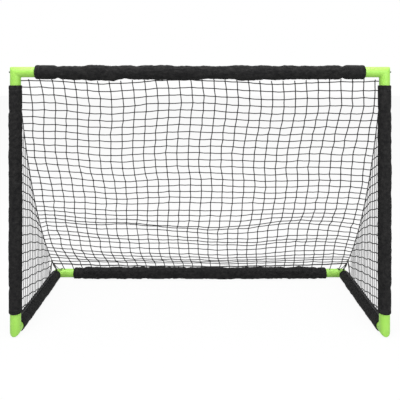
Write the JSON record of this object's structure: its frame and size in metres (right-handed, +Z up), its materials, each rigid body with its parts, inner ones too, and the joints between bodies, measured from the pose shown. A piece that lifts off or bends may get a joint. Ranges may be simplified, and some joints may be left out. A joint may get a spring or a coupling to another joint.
{
  "type": "hockey goal net",
  "caption": "Street hockey goal: steel tube frame with lime corner elbows, padded black fabric sleeves and a sloping cord net with side panels.",
  "frame": {"origin": "on the floor, under the middle of the goal", "axes": "+X to the right seen from the front, the goal mouth faces -Y, +Z up"},
  "size_m": [1.5366, 0.635, 1.0854],
  "materials": {
    "elbow_plastic": "moulded, semi-gloss",
    "sleeve_fabric": "woven polyester, matt",
    "net_cord": "braided polyester cord",
    "tube_steel": "black powder coat",
    "spring_steel": "zinc plated"
  },
  "bodies": {
    "frame": {"elbow_top_left": "elbow_plastic", "elbow_foot_left": "elbow_plastic", "elbow_rear_left": "elbow_plastic", "elbow_top_right": "elbow_plastic", "elbow_foot_right": "elbow_plastic", "elbow_rear_right": "elbow_plastic", "crossbar_tube_left": "tube_steel", "crossbar_tube_right": "tube_steel", "rear_tube_left": "tube_steel", "rear_tube_right": "tube_steel", "left_post_tube_lower": "tube_steel", "left_post_tube_upper": "tube_steel", "left_side_tube": "tube_steel", "right_post_tube_lower": "tube_steel", "right_post_tube_upper": "tube_steel", "right_side_tube": "tube_steel", "crossbar_sleeve": "sleeve_fabric", "rear_bar_sleeve": "sleeve_fabric", "left_post_sleeve": "sleeve_fabric", "left_side_sleeve": "sleeve_fabric", "right_post_sleeve": "sleeve_fabric", "right_side_sleeve": "sleeve_fabric", "net_back": "net_cord", "net_left": "net_cord", "net_right": "net_cord", "corner_cord_left": "net_cord", "corner_cord_right": "net_cord", "leaf_spring_top_left_bar": "spring_steel", "leaf_spring_top_left_post": "spring_steel", "leaf_spring_foot_left_post": "spring_steel", "leaf_spring_foot_left_side": "spring_steel", "leaf_spring_rear_left_bar": "spring_steel", "leaf_spring_rear_left_side": "spring_steel", "leaf_spring_top_right_bar": "spring_steel", "leaf_spring_top_right_post": "spring_steel", "leaf_spring_foot_right_post": "spring_steel", "leaf_spring_foot_right_side": "spring_steel", "leaf_spring_rear_right_bar": "spring_steel", "leaf_spring_rear_right_side": "spring_steel"},
    "button_top_left_bar": {"snap_button_top_left_bar": "spring_steel"},
    "button_top_left_post": {"snap_button_top_left_post": "spring_steel"},
    "button_foot_left_post": {"snap_button_foot_left_post": "spring_steel"},
    "button_foot_left_side": {"snap_button_foot_left_side": "spring_steel"},
    "button_rear_left_bar": {"snap_button_rear_left_bar": "spring_steel"},
    "button_rear_left_side": {"snap_button_rear_left_side": "spring_steel"},
    "button_top_right_bar": {"snap_button_top_right_bar": "spring_steel"},
    "button_top_right_post": {"snap_button_top_right_post": "spring_steel"},
    "button_foot_right_post": {"snap_button_foot_right_post": "spring_steel"},
    "button_foot_right_side": {"snap_button_foot_right_side": "spring_steel"},
    "button_rear_right_bar": {"snap_button_rear_right_bar": "spring_steel"},
    "button_rear_right_side": {"snap_button_rear_right_side": "spring_steel"}
  },
  "joints": [
    {"name": "press_top_left_bar", "type": "slide", "parent": "frame", "child": "button_top_left_bar", "axis": [0, -1, 0], "range_m": [0, 0.0068], "stiffness_N_per_m": 2500, "springref_m": -0.002, "deforming": ["leaf_spring_top_left_bar"]},
    {"name": "press_top_left_post", "type": "slide", "parent": "frame", "child": "button_top_left_post", "axis": [0, -1, 0], "range_m": [0, 0.0068], "stiffness_N_per_m": 2500, "springref_m": -0.002, "deforming": ["leaf_spring_top_left_post"]},
    {"name": "press_foot_left_post", "type": "slide", "parent": "frame", "child": "button_foot_left_post", "axis": [0, -1, 0], "range_m": [0, 0.0068], "stiffness_N_per_m": 2500, "springref_m": -0.002, "deforming": ["leaf_spring_foot_left_post"]},
    {"name": "press_foot_left_side", "type": "slide", "parent": "frame", "child": "button_foot_left_side", "axis": [0, 0, -1], "range_m": [0, 0.0068], "stiffness_N_per_m": 2500, "springref_m": -0.002, "deforming": ["leaf_spring_foot_left_side"]},
    {"name": "press_rear_left_bar", "type": "slide", "parent": "frame", "child": "button_rear_left_bar", "axis": [0, -1, 0], "range_m": [0, 0.0068], "stiffness_N_per_m": 2500, "springref_m": -0.002, "deforming": ["leaf_spring_rear_left_bar"]},
    {"name": "press_rear_left_side", "type": "slide", "parent": "frame", "child": "button_rear_left_side", "axis": [0, 0, -1], "range_m": [0, 0.0068], "stiffness_N_per_m": 2500, "springref_m": -0.002, "deforming": ["leaf_spring_rear_left_side"]},
    {"name": "press_top_right_bar", "type": "slide", "parent": "frame", "child": "button_top_right_bar", "axis": [0, -1, 0], "range_m": [0, 0.0068], "stiffness_N_per_m": 2500, "springref_m": -0.002, "deforming": ["leaf_spring_top_right_bar"]},
    {"name": "press_top_right_post", "type": "slide", "parent": "frame", "child": "button_top_right_post", "axis": [0, -1, 0], "range_m": [0, 0.0068], "stiffness_N_per_m": 2500, "springref_m": -0.002, "deforming": ["leaf_spring_top_right_post"]},
    {"name": "press_foot_right_post", "type": "slide", "parent": "frame", "child": "button_foot_right_post", "axis": [0, -1, 0], "range_m": [0, 0.0068], "stiffness_N_per_m": 2500, "springref_m": -0.002, "deforming": ["leaf_spring_foot_right_post"]},
    {"name": "press_foot_right_side", "type": "slide", "parent": "frame", "child": "button_foot_right_side", "axis": [0, 0, -1], "range_m": [0, 0.0068], "stiffness_N_per_m": 2500, "springref_m": -0.002, "deforming": ["leaf_spring_foot_right_side"]},
    {"name": "press_rear_right_bar", "type": "slide", "parent": "frame", "child": "button_rear_right_bar", "axis": [0, -1, 0], "range_m": [0, 0.0068], "stiffness_N_per_m": 2500, "springref_m": -0.002, "deforming": ["leaf_spring_rear_right_bar"]},
    {"name": "press_rear_right_side", "type": "slide", "parent": "frame", "child": "button_rear_right_side", "axis": [0, 0, -1], "range_m": [0, 0.0068], "stiffness_N_per_m": 2500, "springref_m": -0.002, "deforming": ["leaf_spring_rear_right_side"]}
  ]
}
